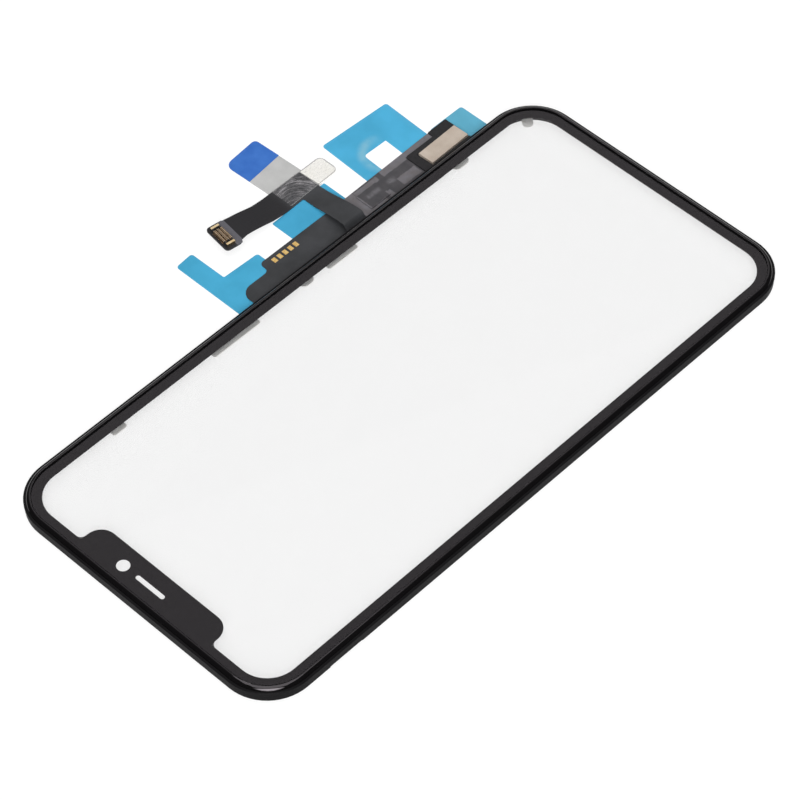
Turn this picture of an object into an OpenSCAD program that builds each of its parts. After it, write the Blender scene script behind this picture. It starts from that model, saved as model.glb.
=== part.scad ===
// Touch panel assembly for a phone display: cover glass with a printed border, touch sensor,
// adhesive layers, moulded bezel with steel clips, and an unfolded touch flex circuit with its
// controller, tapes, pull tab and release liners.
// X points to the flex side, Y to the notch end and Z out of the glass. The bezel's lower edge
// rests on z = 0, and the origin lies under the middle of the window.

/* [Window] */
// Width of the clear window
window_w = 62.39; // [58:0.01:68]
// Length of the clear window
window_l = 135.1; // [128:0.1:146]
// Corner radius of the window
window_r = 6.35; // [5:0.05:8]
// Width of the notch in the window's top edge
notch_w = 33.8; // [28:0.1:38]
// Depth of the notch
notch_depth = 5.02; // [4.6:0.01:5.6]
// Radius of the notch's own corners
notch_r = 3.4; // [2.2:0.1:4]
// Radius of the window's corners beside the notch
notch_fillet_r = 1.2; // [0.6:0.1:2]

/* [Cover glass] */
// Width of the printed border between the window and the glass edge
border_w = 2.98; // [2.6:0.01:3.4]
// Thickness of the glass
glass_t = 0.75; // [0.65:0.05:1]
// Radius of the arc that rounds the top edge
glass_edge_r = 1.05; // [0.8:0.05:1.3]
// How far that arc falls at the glass's side
glass_edge_drop = 0.5; // [0.35:0.05:0.5]
// Bevel of the glass's lower edge
glass_bevel = 0.08; // [0.04:0.01:0.12]
// Length of the earpiece slot
slot_l = 7.2; // [5:0.1:9]
// Width of the earpiece slot
slot_w = 0.95; // [0.7:0.05:1.2]
// Distance of the slot and the camera spot from the glass's top edge
slot_inset = 4.21; // [4:0.01:4.4]
// Diameter of the clear spot for the front camera
camera_d = 2.6; // [2:0.1:3]
// Sideways place of the camera spot
camera_x = 7.05; // [6.5:0.05:10]

/* [Layers] */
// Thickness of the ink border
print_t = 0.04; // [0.02:0.01:0.06]
// Gap left between the glass and the layers under it
print_gap = 0.01; // [0.005:0.005:0.02]
// Bare rim left between the ink and the glass edge
print_rim = 0.15; // [0.1:0.05:0.3]
// Thickness of the clear adhesive between the glass and the sensor
sensor_adhesive_t = 0.15; // [0.1:0.01:0.2]
// Thickness of the touch sensor
sensor_t = 0.15; // [0.1:0.01:0.2]
// How far the sensor reaches past the window
sensor_margin = 1.1; // [0.9:0.05:1.15]
// Thickness of the clear adhesive that takes the display
display_adhesive_t = 0.15; // [0.1:0.01:0.2]
// How far that adhesive reaches past the window
display_adhesive_margin = 0.25; // [0.1:0.05:0.3]
// Thickness of the film that covers the adhesive
display_liner_t = 0.08; // [0.05:0.01:0.1]
// How far the film stands out past its adhesive
display_liner_rim = 0.1; // [0.05:0.05:0.15]

/* [Bezel frame] */
// Height of the shelf under the glass above the resting plane
shelf_z = 2.04; // [1.9:0.01:2.4]
// Width of the bezel's wall
wall_w = 2.05; // [1.95:0.01:2.1]
// Thickness of the lip round the glass
lip_t = 0.47; // [0.4:0.01:0.55]
// Height of the lip above the shelf
lip_h = 0.31; // [0.25:0.01:0.45]
// Gap between the glass and the lip
lip_gap = 0.05; // [0.03:0.01:0.08]
// How far the skirt stands back from the rim
skirt_step = 0.1; // [0.05:0.01:0.15]
// Height of the shadow groove above the resting plane
groove_z = 1.42; // [1.3:0.01:1.5]
// Height of the shadow groove
groove_h = 0.12; // [0.08:0.01:0.2]
// Depth of the shadow groove behind the skirt
groove_d = 0.12; // [0.05:0.01:0.2]
// Bevel of the skirt's lower edges
skirt_bevel = 0.2; // [0.1:0.05:0.3]
// Thickness of the adhesive ring between the bezel and the glass
bond_t = 0.12; // [0.08:0.01:0.16]
// Margin of the adhesive ring on the shelf
bond_margin = 0.15; // [0.1:0.05:0.25]
// Height of the relief that the flex circuit passes through
relief_h = 0.5; // [0.45:0.01:0.58]
// Clearance beside the flex circuit in its relief
relief_side = 0.4; // [0.2:0.1:1]
// Length of the pry notch in the skirt
pry_l = 8; // [6:0.5:12]
// Height of the pry notch
pry_h = 0.4; // [0.3:0.05:0.6]
// Depth of the pry notch
pry_d = 0.6; // [0.4:0.05:0.8]
// Place of the pry notch along the skirt
pry_y = 51.5; // [40:0.5:55]

/* [Steel clips] */
// Thickness of the clips
clip_t = 0.18; // [0.12:0.01:0.2]
// Height of the clips' lower face above the resting plane
clip_z = 0.62; // [0.6:0.01:0.8]
// How far the clips stand out of the bezel
clip_reach = 1.45; // [1.2:0.05:1.6]
// How far the clips reach into the bezel
clip_root = 0.6; // [0.4:0.05:0.8]
// Place of the first clip along the side
clip_top_y = 44.6; // [42:0.1:46]
// Place of the long clip
clip_long_y = 14.2; // [13:0.1:15]
// Place of the short rounded clip
clip_round_y = -5.2; // [-5.6:0.1:-4]
// Place of the clip beside the flex circuit's arm
clip_arm_y = -14.4; // [-15:0.1:-13.6]
// Place of the last clip
clip_low_y = -48; // [-50:0.1:-47]
// Length of the first clip and of the short rounded one
clip_short_l = 3.4; // [2.8:0.1:4]
// Length of the long clip
clip_long_l = 12.2; // [10:0.1:13]
// Length of the clip beside the arm
clip_arm_l = 8; // [6:0.1:9]
// Length of the last clip
clip_low_l = 4.2; // [3.6:0.1:5]
// Corner radius of the clips
clip_r = 0.5; // [0.3:0.05:0.7]
// Corner radius of the rounded clips
clip_round_r = 1.2; // [0.9:0.05:1.3]
// Radius of the corner clip's end
corner_clip_r = 1.1; // [0.8:0.05:1.3]
// How far the corner clip stands out of the bezel
corner_clip_reach = 2.45; // [2:0.05:2.6]
// Direction of the corner clip from the corner's centre
corner_clip_angle = -38.5; // [-60:0.5:-30]

/* [Flex circuit] */
// Thickness of the flex circuit
flex_t = 0.15; // [0.1:0.01:0.18]
// Gap between the bezel's side and the flat flex
flex_start = 0.5; // [0.3:0.05:0.7]
// Width of the strip that climbs to the sensor
root_l = 22; // [16:0.5:24]
// Place of that strip along the side
root_y = -32.5; // [-33:0.5:-31]
// Width of the strip's bond on the sensor
bond_land = 0.55; // [0.4:0.05:0.6]
// Inner radius of the strip's bends
bend_r = 0.15; // [0.1:0.01:0.2]
// Distance of the wing's edge from the bezel's side
wing_reach = 7.58; // [7.1:0.01:7.8]
// Upper end of the wing
wing_y = 5.4; // [4:0.1:7]
// Width of the narrow part of the wing
wing_neck = 5; // [4.6:0.1:5.5]
// Radius of the wing's upper corner
wing_r = 2.6; // [1.5:0.1:3]
// Where the wing widens
wing_step_y = -2.35; // [-2.6:0.05:-1.6]
// Bare edge of the flex circuit beside the tapes and the dam
edge_margin = 0.1; // [0.06:0.02:0.16]
// Lower end of the controller's section
body_y = -54.95; // [-56:0.05:-54]
// Width of the arm that crosses to the tail
arm_w = 4.5; // [4:0.05:4.7]
// Lower edge of the arm
arm_y = -24.75; // [-25:0.05:-24.5]
// Height of the arm's bow beside the bezel
arm_bow = 1.3; // [0.8:0.05:1.5]
// Distance of the tail's inner edge from the bezel's side
tail_start = 13.5; // [13.3:0.05:13.7]
// Width of the tail
tail_w = 5.8; // [5.4:0.05:6]
// How far the tail's end lifts off the resting plane
tail_lift = 1.9; // [1:0.1:3]
// Upper end of the tail
tail_y = 0.25; // [0:0.05:1]
// Width of the connector's head on the tail
head_w = 7.2; // [6.9:0.05:7.4]
// Length of the connector's head
head_l = 3.95; // [3.6:0.05:4.4]
// Turn of the head about the vertical
head_turn = -7.9; // [-9:0.1:-6]

/* [Contact pads] */
// Number of bare pads on the wing
pad_count = 5; // [3:1:6]
// Distance between pads
pad_pitch = 1.43; // [1.3:0.01:1.5]
// Length of a pad
pad_l = 1.2; // [1:0.05:1.4]
// Width of a pad
pad_w = 0.88; // [0.6:0.02:1]
// Thickness of the plated pads above the flex
pad_t = 0.03; // [0.02:0.01:0.05]
// Place of the first pad
pad_y = -5.06; // [-5.5:0.02:-4.5]
// Bare margin between the pads and the wing's edge
pad_edge = 0.84; // [0.6:0.02:1.2]

/* [Touch controller] */
// Width of the controller chip
chip_w = 3.75; // [3:0.05:4]
// Length of the controller chip
chip_l = 10.4; // [9:0.1:10.8]
// Height of the chip above the flex
chip_h = 0.6; // [0.4:0.05:0.9]
// Distance of the chip's middle from the bezel's side
chip_x = 3.42; // [3.3:0.02:3.6]
// Turn of the chip
chip_turn = 1.5; // [0:0.1:2]
// Height of the dam round the chip
dam_h = 0.25; // [0.15:0.01:0.35]
// Gap between the chip and its dam
dam_gap = 0.22; // [0.1:0.02:0.3]
// Width of the dam's wall beside the chip
dam_wall = 1.085; // [0.9:0.005:1.2]
// Upper end of the dam
dam_y = -41.9; // [-42.4:0.05:-41.5]
// Number of capacitors under the shield tape
cap_count = 6; // [2:1:8]
// Length of a capacitor
cap_l = 0.6; // [0.4:0.05:0.8]
// Width of a capacitor
cap_w = 0.3; // [0.2:0.05:0.4]
// Height of a capacitor
cap_h = 0.2; // [0.15:0.01:0.22]
// Distance between capacitors
cap_pitch = 0.8; // [0.6:0.05:0.85]

/* [Tapes] */
// Thickness of the tapes
tape_t = 0.05; // [0.03:0.01:0.08]
// Gap between a tape and the part beside it
tape_gap = 0.05; // [0.03:0.01:0.1]
// Upper edge of the shield tape
shield_y = -25.4; // [-25.6:0.05:-25.2]
// Width of the strip that the shield tape sends past the chip
shield_strip_w = 1.4; // [1.2:0.05:1.6]
// Lower end of that strip
shield_strip_y = -49.7; // [-52:0.1:-46]
// Distance of the blister's middle from the bezel's side
blister_inset = 4; // [3.8:0.1:4.2]
// Width of the blister over the capacitors
blister_w = 4.4; // [3.6:0.1:4.8]
// Length of the blister over the capacitors
blister_l = 5.4; // [5.2:0.1:6]
// Room in the blister above the flex
blister_h = 0.26; // [0.24:0.01:0.4]
// Upper edge of the clear corner tape
corner_tape_y = -17.25; // [-17.6:0.05:-17]
// Distance of the corner tape from the tail's inner edge
corner_tape_inset = 0.35; // [0.2:0.05:0.6]
// Lower end of the corner tape and its paper tab
tape_tab_y = -30.6; // [-32:0.1:-29]
// Corner radius at that end
tape_tab_r = 1.2; // [0.6:0.1:1.6]
// Thickness of the paper tab
tab_t = 0.1; // [0.06:0.01:0.12]

/* [Pull tab] */
// Thickness of the grey film strip
strip_t = 0.1; // [0.06:0.01:0.12]
// Width of the strip where it leaves the tail
strip_w = 9; // [8.6:0.1:9.4]
// Lower edge of the strip
strip_y = -25.75; // [-25.9:0.05:-25.6]
// Distance of the strip's end from the bezel's side
strip_reach = 31.7; // [30.5:0.1:32.5]
// Where the blue handle starts
handle_start = 24.9; // [24.3:0.1:26.5]
// Thickness of the handle's film
handle_t = 0.08; // [0.05:0.01:0.1]
// How far the handle stands out past the strip
handle_rim = 0.3; // [0.2:0.05:0.5]
// How much higher the strip's far end stands than its near end
strip_skew = 0.45; // [0.3:0.05:0.6]
// Radius of the handle's rounded corner
handle_r = 1.9; // [1.2:0.1:2.2]

/* [Release liners] */
// Thickness of the liners
liner_t = 0.1; // [0.06:0.01:0.12]
// Corner radius of the liners
liner_r = 0.3; // [0.2:0.05:0.4]
// How far the liners reach under the flex's edge
liner_overlap = 1.8; // [1.4:0.05:2]
// Thickness of the adhesive between the liners and the flex
flex_adhesive_t = 0.05; // [0.03:0.01:0.06]
// Upper edge of the upper liner
upper_liner_y = 9.16; // [8:0.02:10]
// Distance of the upper liner's tip from the bezel's side
upper_liner_reach = 19; // [17.5:0.1:19.5]
// Width of the upper liner's branch
upper_liner_branch = 4.5; // [4:0.1:5]
// Width of the upper liner's stem outside the wing
upper_liner_stem = 2.4; // [2:0.1:3]
// Lower end of the upper liner's stem
upper_liner_end = -4.06; // [-4.4:0.02:-3]
// Distance of the stem's hidden edge from the bezel's side
upper_liner_under = 1.6; // [1.4:0.1:2.6]
// Upper edge of the middle liner
middle_liner_y = -11.5; // [-12:0.1:-11]
// Lower edge of the middle liner
middle_liner_end = -26.16; // [-27:0.02:-25.6]
// Distance of the middle liner's edge from the bezel's side
middle_liner_reach = 13.4; // [13.2:0.01:13.45]
// Width of the square liner that shows past the flex
square_liner_w = 12.9; // [12:0.1:14]
// Length of the square liner
square_liner_l = 17.3; // [16.5:0.1:18]
// Upper edge of the square liner
square_liner_y = -32.4; // [-33:0.1:-32]
// Turn of the square liner
square_liner_turn = -2.6; // [-3:0.1:0]
// How far the square liner's window reaches under the flex
square_hole_under = 0.75; // [0.4:0.05:1]
// Width of the square liner's window
square_hole_w = 5.2; // [4.5:0.1:6]
// Length of the square liner's window
square_hole_l = 6; // [5:0.1:7]
// Distance of that window from the liner's upper edge
square_hole_inset = 4.2; // [3.8:0.1:5]
// Width of the lower liner
lower_liner_w = 8; // [7.6:0.1:8.2]
// Lower end of the lower liner
lower_liner_y = -59.9; // [-62:0.1:-58]
// Gap between the square liner and the lower liner
liner_gap = 1.3; // [0.9:0.1:2]

/* [Connector] */
// Length of the connector's housing
connector_l = 5.5; // [5.2:0.05:5.8]
// Width of the connector's housing
connector_w = 1.9; // [1.8:0.05:2.1]
// Height of the connector's housing
connector_h = 0.6; // [0.5:0.05:0.8]
// Width of the trough that the mating plug enters
trough_w = 1.3; // [1.25:0.05:1.4]
// Depth of the trough
trough_d = 0.42; // [0.3:0.02:0.45]
// Width of the island in the trough
island_w = 0.36; // [0.3:0.02:0.44]
// Gap between the island and the trough's ends
island_gap = 0.3; // [0.2:0.05:0.4]
// Number of contacts in a row
contact_count = 10; // [6:1:12]
// Distance between contacts
contact_pitch = 0.35; // [0.3:0.01:0.38]
// Width of a contact
contact_w = 0.16; // [0.1:0.01:0.2]
// Thickness of the contacts' metal
contact_t = 0.1; // [0.06:0.01:0.12]
// Length of the metal lugs at the connector's ends
lug_l = 0.5; // [0.4:0.02:0.56]
// Thickness of the stiffener under the head
stiffener_t = 0.2; // [0.15:0.01:0.3]
// How far the stiffener stays back from the head's lower end
stiffener_inset = 0.3; // [0.1:0.05:0.6]

/* [Hidden] */
$fn = 64;
eps = 0.01;
arc_steps = 5;

// Plan sizes of the stack
glass_w = window_w + 2 * border_w;
glass_l = window_l + 2 * border_w;
glass_r = window_r + border_w;
frame_w = glass_w + 2 * (lip_gap + lip_t);
frame_l = glass_l + 2 * (lip_gap + lip_t);
frame_r = glass_r + lip_gap + lip_t;
inner_r = frame_r - wall_w;
side = frame_w / 2;
slot_y = glass_l / 2 - slot_inset;

// Heights of the stack
print_z = shelf_z + bond_t;
glass_z = print_z + print_t + print_gap;
sensor_adhesive_z = print_z - sensor_adhesive_t;
sensor_z = sensor_adhesive_z - sensor_t;
display_adhesive_z = sensor_z - display_adhesive_t;
display_liner_z = display_adhesive_z - display_liner_t;

// Clips along a side: place, length, share of the reach, corner radius
clip_rows = [[clip_top_y, clip_short_l, 1.08, clip_r], [clip_long_y, clip_long_l, 1, clip_r],
             [clip_round_y, clip_short_l, 0.94, clip_round_r], [clip_arm_y, clip_arm_l, 1, clip_r],
             [clip_low_y, clip_low_l, 1.02, clip_round_r]];

// Heights of the flex circuit and what lies on it
flex_z = liner_t + flex_adhesive_t;
flex_top = flex_z + flex_t;
flex_left = side + flex_start;
arm_top = arm_y + arm_w;
arm_foot = flex_left + 0.4;
arm_peak = flex_left + 1.7;
tail_left = side + tail_start;
tail_right = tail_left + tail_w;
tape_right = tail_right - tape_gap;
tab_left = tail_left + 2 * corner_tape_inset;
lift_start = corner_tape_y + 0.15;
lift_end = tail_y - head_l - 0.3;
head_z = flex_z + tail_lift;
head_top = head_z + flex_t;
head_x = tail_left + 3.05;
head_mid = tail_y - head_l / 2;

// Controller section
chip_y = body_y + 0.3 + chip_l / 2;
dam_right = side + chip_x + chip_w / 2 + dam_gap + dam_wall;
strip_left = dam_right + tape_gap;
strip_right = strip_left + shield_strip_w;
body_right = strip_right + edge_margin;
lower_liner_top = square_liner_y - square_liner_l - liner_gap;
blister_x = side + blister_inset;
blister_y = shield_y - 4.75;

// Connector
connector_z = head_top;
connector_y = head_mid + 0.35;
contact_run = contact_pitch * (contact_count - 1);

// Points of an arc of radius b[2] that rounds corner b between a and c
function rounded_corner(a, b, c) =
    b[2] == 0 ? [[b[0], b[1]]] :
    let(
        p = [b[0], b[1]],
        u = [a[0] - b[0], a[1] - b[1]] / norm([a[0] - b[0], a[1] - b[1]]),
        v = [c[0] - b[0], c[1] - b[1]] / norm([c[0] - b[0], c[1] - b[1]]),
        half = acos(max(-1, min(1, u * v))) / 2,
        middle = p + (u + v) / norm(u + v) * b[2] / sin(half),
        first = p + u * b[2] / tan(half) - middle,
        way = u[0] * v[1] - u[1] * v[0] > 0 ? -1 : 1,
        start = atan2(first[1], first[0])
    )
    [for (i = [0:arc_steps])
        let(angle = start + way * (180 - 2 * half) * i / arc_steps)
        middle + b[2] * [cos(angle), sin(angle)]];

// Outline through points [x, y, radius], with each corner rounded by its radius
function outline(points) =
    let(n = len(points))
    [for (i = [0:n - 1]) each rounded_corner(points[(i + n - 1) % n], points[i], points[(i + 1) % n])];

// Smooth step from 0 at a to 1 at b
function ease(x, a, b) = let(t = max(0, min(1, (x - a) / (b - a)))) t * t * (3 - 2 * t);

// Height of the arm's underside over its place x, and of the tail's over y. The arm starts on the
// flat flex, fused to it by a fifth of its thickness, bows up beside the bezel and comes down again
function arm_height(x) =
    let(up = ease(x, arm_foot, arm_peak), down = ease(x, arm_peak, tail_left))
    flex_z + 0.8 * flex_t * (1 - up) + (flex_t + arm_bow) * up * (1 - down);
function tail_height(y) = flex_z + tail_lift * ease(y, lift_start, lift_end);

module rounded_rect(w, l, r) {
    square([w - 2 * r, l], center = true);
    square([w, l - 2 * r], center = true);
    for (x = [-1, 1], y = [-1, 1]) translate([x * (w / 2 - r), y * (l / 2 - r)]) circle(r);
}

// Outline of the window, grown by a margin on every side
module window_shape(grow = 0) {
    half = notch_w / 2 - grow;
    low = window_l / 2 - notch_depth + grow;
    top = window_l / 2 + grow;
    r = notch_r - grow;
    fillet = notch_fillet_r + grow;
    difference() {
        rounded_rect(window_w + 2 * grow, window_l + 2 * grow, window_r + grow);
        translate([-half, low + r]) square([2 * half, top - low]);
        translate([-half + r, low]) square([2 * (half - r), top - low]);
        for (x = [-1, 1]) {
            translate([x * (half - r), low + r]) circle(r);
            difference() {
                translate([x > 0 ? half - eps : -half - fillet, top - fillet])
                    square([fillet + eps, fillet + eps]);
                translate([x * (half + fillet), top - fillet]) circle(fillet);
            }
        }
    }
}

module slot_shape(grow = 0) {
    r = slot_w / 2 + grow;
    translate([0, slot_y]) {
        square([slot_l - slot_w, 2 * r], center = true);
        for (x = [-1, 1]) translate([x * (slot_l - slot_w) / 2, 0]) circle(r);
    }
}

// Sweeps a section round a rounded rectangle. The section's x runs outwards from the corner's centre
module sweep_round(w, l, r) {
    for (i = [0:3])
        rotate(90 * i)
            translate([(i % 2 == 0 ? w : l) / 2 - r, (i % 2 == 0 ? l : w) / 2 - r, 0]) {
                rotate_extrude(angle = 90) children();
                rotate([90, 0, 0]) linear_extrude((i % 2 == 0 ? l : w) - 2 * r) children();
            }
}

module sheet(points, z, t) translate([0, 0, z]) linear_extrude(t) polygon(outline(points));

module glass_section() {
    run = sqrt(pow(glass_edge_r, 2) - pow(glass_edge_r - glass_edge_drop, 2));
    flat = glass_r - run;
    difference() {
        union() {
            translate([0, glass_z]) square([flat, glass_t]);
            intersection() {
                translate([flat, glass_z + glass_t - glass_edge_r]) circle(glass_edge_r);
                translate([flat, glass_z]) square([run, glass_t]);
            }
        }
        translate([glass_r, glass_z]) rotate(45) square(glass_bevel * sqrt(2), center = true);
    }
}

module cover_glass() {
    color([0.88, 0.92, 0.92, 0.4])
        difference() {
            union() {
                sweep_round(glass_w, glass_l, glass_r) glass_section();
                translate([0, 0, glass_z + glass_t / 2])
                    cube([glass_w - 2 * glass_r, glass_l - 2 * glass_r, glass_t], center = true);
            }
            translate([0, 0, glass_z - eps]) linear_extrude(glass_t + 2 * eps) slot_shape();
        }
}

module border_print() {
    w = glass_w - 2 * print_rim;
    l = glass_l - 2 * print_rim;
    color([0.12, 0.12, 0.13])
        translate([0, 0, print_z]) linear_extrude(print_t)
            difference() {
                rounded_rect(w, l, glass_r - print_rim);
                window_shape();
                slot_shape();
                translate([camera_x, slot_y]) circle(d = camera_d);
            }
}

module sensor_adhesive() {
    color([0.85, 0.88, 0.9, 0.3]) {
        translate([0, 0, sensor_adhesive_z]) linear_extrude(sensor_adhesive_t) window_shape(sensor_margin);
        translate([0, 0, print_z - eps]) linear_extrude(print_t + eps) window_shape();
    }
}

module touch_sensor() {
    color([0.8, 0.82, 0.85, 0.4])
        translate([0, 0, sensor_z]) linear_extrude(sensor_t) window_shape(sensor_margin);
}

module display_adhesive() {
    color([0.85, 0.88, 0.9, 0.3])
        translate([0, 0, display_adhesive_z]) linear_extrude(display_adhesive_t)
            window_shape(display_adhesive_margin);
}

module display_liner() {
    color([0.9, 0.93, 0.96, 0.3])
        translate([0, 0, display_liner_z]) linear_extrude(display_liner_t)
            window_shape(display_adhesive_margin + display_liner_rim);
}

module bezel_section() {
    skirt = frame_r - skirt_step;
    rim_z = groove_z + groove_h;
    polygon([
        [inner_r + skirt_bevel, 0], [skirt - skirt_bevel, 0], [skirt, skirt_bevel], [skirt, groove_z],
        [skirt - groove_d, groove_z], [skirt - groove_d, rim_z], [frame_r - skirt_step / 2, rim_z],
        [frame_r, rim_z + skirt_step], [frame_r, shelf_z + lip_h - lip_t / 3],
        [frame_r - lip_t / 3, shelf_z + lip_h], [frame_r - lip_t, shelf_z + lip_h],
        [frame_r - lip_t, shelf_z], [inner_r, shelf_z], [inner_r, skirt_bevel]
    ]);
}

// Steel clips along one side, set into the bezel's inner wall
module clip_row() {
    for (row = clip_rows) {
        reach = clip_reach * row[2];
        inner = frame_w / 2 - wall_w;
        sheet([
            [inner - reach, row[0] - row[1] / 2, row[3]], [inner + clip_root, row[0] - row[1] / 2, 0],
            [inner + clip_root, row[0] + row[1] / 2, 0], [inner - reach, row[0] + row[1] / 2, row[3]]
        ], clip_z, clip_t);
    }
}

module corner_clip_shape() {
    centre = inner_r - corner_clip_reach + corner_clip_r;
    translate([frame_w / 2 - frame_r, frame_r - frame_l / 2, clip_z]) rotate(corner_clip_angle)
        linear_extrude(clip_t) {
            translate([centre, 0]) circle(corner_clip_r);
            translate([centre, -corner_clip_r])
                square([inner_r + clip_root - centre, 2 * corner_clip_r]);
        }
}

module bezel_frame() {
    color([0.16, 0.16, 0.17])
        difference() {
            sweep_round(frame_w, frame_l, frame_r) bezel_section();
            translate([side - 2 * wall_w, root_y - root_l / 2 - relief_side, -eps])
                cube([3 * wall_w, root_l + 2 * relief_side, relief_h + eps]);
            translate([-side - wall_w, pry_y - pry_l / 2, -eps])
                cube([wall_w + skirt_step + pry_d, pry_l, pry_h + eps]);
            clip_row();
            mirror([1, 0, 0]) clip_row();
            corner_clip_shape();
        }
}

module frame_bond() {
    outer = lip_t + bond_margin;
    color([0.1, 0.1, 0.1])
        translate([0, 0, shelf_z]) linear_extrude(bond_t)
            difference() {
                rounded_rect(frame_w - 2 * outer, frame_l - 2 * outer, frame_r - outer);
                rounded_rect(frame_w - 2 * wall_w, frame_l - 2 * wall_w, inner_r);
            }
}

module side_clips_right() color([0.5, 0.49, 0.48]) clip_row();

module side_clips_left() color([0.5, 0.49, 0.48]) mirror([1, 0, 0]) clip_row();

module corner_clip() color([0.5, 0.49, 0.48]) corner_clip_shape();

// Quarter of a bend, from the outside radius in
module bend_section(turn) {
    rotate(turn)
        intersection() {
            difference() {
                circle(bend_r + flex_t);
                circle(bend_r);
            }
            square(bend_r + flex_t);
        }
}

// Side view of the strip that climbs from under the bezel to the sensor's underside
module root_section() {
    top_x = window_w / 2 + sensor_margin - 0.1;
    top_z = sensor_z - flex_t - bend_r;
    low_x = top_x + flex_t + 2 * bend_r;
    low_z = flex_top + bend_r;
    translate([top_x - bond_land, sensor_z - flex_t]) square([bond_land, flex_t]);
    translate([top_x, top_z]) bend_section(0);
    translate([top_x + bend_r, low_z]) square([flex_t, top_z - low_z]);
    translate([low_x, low_z]) bend_section(180);
    translate([low_x, flex_z]) square([flex_left + 0.2 - low_x, flex_t]);
}

// Plan of the arm and the tail, as far as the head
module arm_plan() {
    polygon(outline([
        [flex_left, arm_top + 0.45, 0], [side + wing_reach, arm_top + 0.2, 0], [tail_left, arm_top, 0.4],
        [tail_left - 0.3, lift_start + 5.5, 3], [tail_left, lift_end - 1, 1],
        [head_x - head_w / 2 + 0.2, head_mid, 0], [head_x + head_w / 2 - 0.5, head_mid, 0],
        [tail_right + 0.45, lift_end + 0.3, 0.3], [tail_right + 0.1, lift_end - 1.6, 2],
        [tail_right - 0.35, lift_start + 6, 4], [tail_right, lift_start + 1, 2], [tail_right, arm_y, 0.3],
        [side + wing_reach, arm_y - 0.25, 0], [flex_left, arm_y - 0.3, 0]
    ]));
}

module head_plan(l = head_l) {
    translate([head_x, head_mid]) rotate(head_turn)
        translate([0, (head_l - l) / 2])
            polygon(outline([
                [-head_w / 2, -l / 2, 0.4], [head_w / 2, -l / 2, 0.4], [head_w / 2, l / 2, 0.8],
                [-head_w / 2, l / 2, 0.8]
            ]));
}

// Thin bands that follow the arm's bow and the tail's lift
module arm_band() {
    rise = 8;
    fall = 14;
    places = concat(
        [flex_left], [for (i = [0:rise]) arm_foot + (arm_peak - arm_foot) * i / rise],
        [for (i = [1:fall]) arm_peak + (tail_left + eps - arm_peak) * i / fall]
    );
    points = [for (x = places) [x, arm_height(x)]];
    translate([0, arm_top + 2, 0]) rotate([90, 0, 0]) linear_extrude(arm_w + 4)
        polygon(concat(points, [for (i = [len(points) - 1:-1:0]) points[i] + [0, flex_t]]));
}

module tail_band() {
    steps = 16;
    points = [for (i = [0:steps]) let(y = lift_start + (lift_end - lift_start) * i / steps)
        [y, tail_height(y)]];
    ends = concat([[lift_start - 1, flex_z]], points, [[tail_y + 2, head_z]]);
    translate([tail_left - 2, 0, 0]) rotate([90, 0, 90]) linear_extrude(tail_w + 5)
        polygon(concat(ends, [for (i = [len(ends) - 1:-1:0]) ends[i] + [0, flex_t]]));
}

module flat_plan() {
    neck = side + wing_neck;
    edge = side + wing_reach;
    polygon(outline([
        [flex_left, wing_y, 0.2], [neck, wing_y, wing_r], [neck, wing_step_y, 1.1],
        [edge, wing_step_y, 0.9], [edge, arm_y, 0], [body_right, body_y, 0.3], [flex_left, body_y, 0.2]
    ]));
}

module flex_circuit() {
    color([0.21, 0.21, 0.22]) {
        translate([0, 0, flex_z]) linear_extrude(flex_t) flat_plan();
        translate([0, root_y + root_l / 2, 0]) rotate([90, 0, 0]) linear_extrude(root_l) root_section();
        intersection() {
            translate([0, 0, flex_z - eps]) linear_extrude(tail_lift + 4 * flex_t) arm_plan();
            union() {
                arm_band();
                translate([tail_left, arm_y - 1, flex_z])
                    cube([tail_w + 1, lift_start - arm_y + 1.5, flex_t]);
                tail_band();
            }
        }
        translate([0, 0, head_z]) linear_extrude(flex_t) head_plan();
    }
}

module contact_pads() {
    color([0.92, 0.74, 0.42])
        for (i = [0:pad_count - 1])
            translate([side + wing_reach - pad_edge - pad_l, pad_y - pad_w / 2 - pad_pitch * i,
                    flex_top])
                cube([pad_l, pad_w, pad_t]);
}

module touch_controller() {
    color([0.72, 0.67, 0.62])
        translate([side + chip_x, chip_y, flex_top]) rotate(chip_turn)
            translate([-chip_w / 2, -chip_l / 2, 0]) cube([chip_w, chip_l, chip_h]);
}

module controller_dam() {
    left = flex_left + edge_margin;
    low = body_y + edge_margin / 2;
    step = shield_strip_y - tape_gap;
    color([0.13, 0.13, 0.14])
        translate([0, 0, flex_top]) linear_extrude(dam_h)
            difference() {
                polygon(outline([
                    [left, dam_y, 0.2], [dam_right, dam_y, 0.5], [dam_right, step, 0],
                    [strip_right, step, 0.2], [strip_right + edge_margin / 2, low, 0.3], [left, low, 0.2]
                ]));
                translate([side + chip_x, chip_y]) rotate(chip_turn)
                    square([chip_w + 2 * dam_gap, chip_l + 2 * dam_gap], center = true);
            }
}

module capacitors() {
    color([0.55, 0.45, 0.36])
        for (i = [0:cap_count - 1])
            translate([blister_x, blister_y + cap_pitch * (i - (cap_count - 1) / 2), flex_top])
                translate([-cap_l / 2, -cap_w / 2, 0]) cube([cap_l, cap_w, cap_h]);
}

module shield_tape() {
    low = dam_y + tape_gap;
    color([0.42, 0.42, 0.44, 0.8])
        difference() {
            union() {
                sheet([
                    [flex_left, shield_y, 0], [side + wing_reach, shield_y, 0.1],
                    [strip_right, shield_strip_y, 0.1], [strip_left, shield_strip_y, 0.1],
                    [strip_left, low, 0], [flex_left, low, 0]
                ], flex_top, tape_t);
                translate([blister_x, blister_y, flex_top + (blister_h + tape_t) / 2])
                    cube([blister_w, blister_l, blister_h + tape_t], center = true);
            }
            translate([blister_x, blister_y, flex_top + blister_h / 2])
                cube([blister_w - 2 * tape_t, blister_l - 2 * tape_t, blister_h], center = true);
        }
}

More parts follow.
